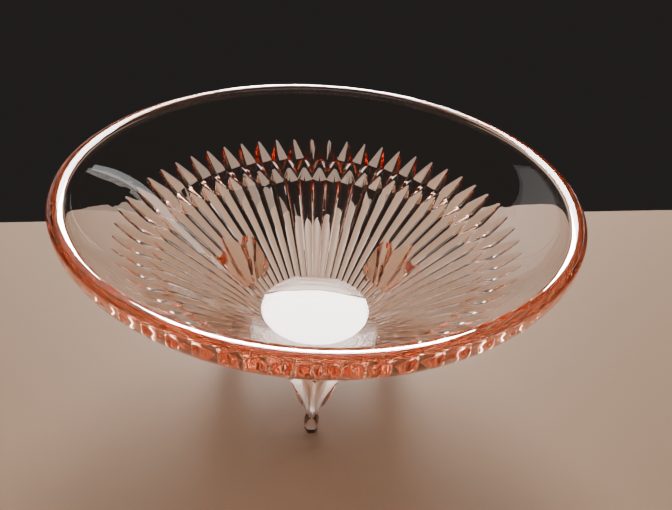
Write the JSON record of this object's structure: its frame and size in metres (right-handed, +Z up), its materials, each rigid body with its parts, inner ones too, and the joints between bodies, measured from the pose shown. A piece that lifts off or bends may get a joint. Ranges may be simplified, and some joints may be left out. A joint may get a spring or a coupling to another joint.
{
  "type": "footed glass dish",
  "caption": "Round flared open dish of pale pink pressed glass, smooth inside, with outer ribs, a band of diamonds and lobed feet, for holding candy.",
  "frame": {"origin": "on the table, under the centre of the bowl", "axes": "+Z up along the bowl's axis, with the front foot along -Y"},
  "size_m": [0.1375, 0.1374, 0.068],
  "materials": {
    "pink_glass": "clear pressed glass, fire polished, pale pink"
  },
  "bodies": {
    "root": {"bowl_wall": "pink_glass", "rim_lip": "pink_glass", "base_disc": "pink_glass", "rib_band": "pink_glass", "kite_band": "pink_glass", "front_foot": "pink_glass", "rear_left_foot": "pink_glass", "rear_right_foot": "pink_glass"}
  },
  "joints": []
}
